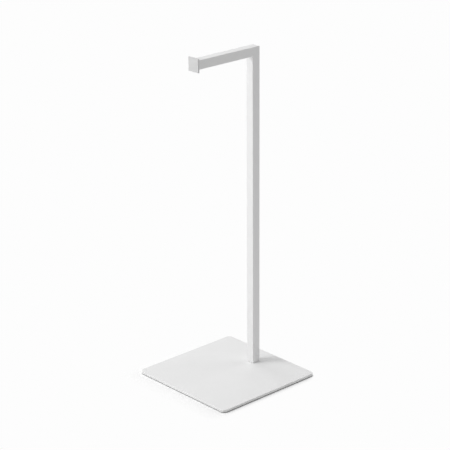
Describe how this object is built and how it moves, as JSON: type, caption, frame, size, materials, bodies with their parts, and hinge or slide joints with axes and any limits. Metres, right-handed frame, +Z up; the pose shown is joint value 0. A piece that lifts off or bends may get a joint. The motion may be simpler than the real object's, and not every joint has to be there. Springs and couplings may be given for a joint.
{
  "type": "freestanding toilet paper holder",
  "caption": "White floor stand for a toilet roll: flat rectangular base with rounded corners, slim square post, and a short mitred arm that ends in a square stop plate.",
  "frame": {"origin": "on the floor, under the middle of the base plate", "axes": "+Z up along the post; the arm runs from the post towards -Y, which is the front; +X is to the right as seen from the front"},
  "size_m": [0.21, 0.207, 0.5615],
  "materials": {
    "powder_coat": "fine textured matte white powder coat on steel",
    "moulded_cap": "satin, injection moulded, slightly greyer white than the powder coat",
    "zinc_plated_steel": "bright zinc plating on the screw",
    "bare_steel": "bare mild steel, hidden inside the post",
    "ground_steel": "ground steel pins, hidden inside the post",
    "rubber_pad": "matte black rubber, self-adhesive"
  },
  "bodies": {
    "root": {"base_plate": "powder_coat", "post_tube": "powder_coat", "arm_tube": "powder_coat", "end_cap": "moulded_cap", "post_insert": "bare_steel", "base_screw": "zinc_plated_steel", "locating_pin_left": "ground_steel", "locating_pin_right": "ground_steel", "foot_pad_front_left": "rubber_pad", "foot_pad_front_right": "rubber_pad", "foot_pad_back_left": "rubber_pad", "foot_pad_back_right": "rubber_pad"}
  },
  "joints": []
}
